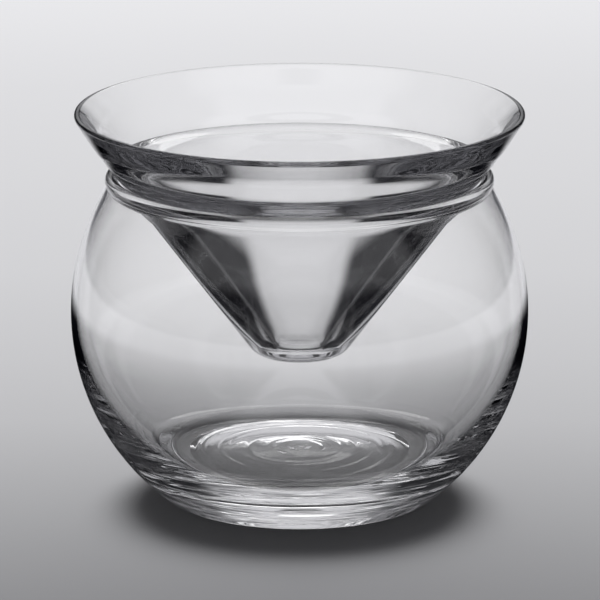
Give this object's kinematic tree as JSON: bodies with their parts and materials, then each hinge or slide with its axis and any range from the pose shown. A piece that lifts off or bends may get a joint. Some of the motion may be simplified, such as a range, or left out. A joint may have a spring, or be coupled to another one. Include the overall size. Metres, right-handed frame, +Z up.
{
  "type": "caviar server",
  "caption": "Clear glass server: a stemless cone-shaped glass rests in the beaded mouth of a round glass bowl that holds crushed ice around it.",
  "frame": {"origin": "on the table, at the middle of the bowl's foot ring", "axes": "+Z up along the common axis of the bowl and the cone; X and Y level, any way round"},
  "size_m": [0.11, 0.11, 0.0947],
  "materials": {
    "bowl_glass": "clear, polished",
    "liner_glass": "clear, polished"
  },
  "bodies": {
    "root": {"chiller_bowl": "bowl_glass", "cone_liner": "liner_glass"}
  },
  "joints": []
}
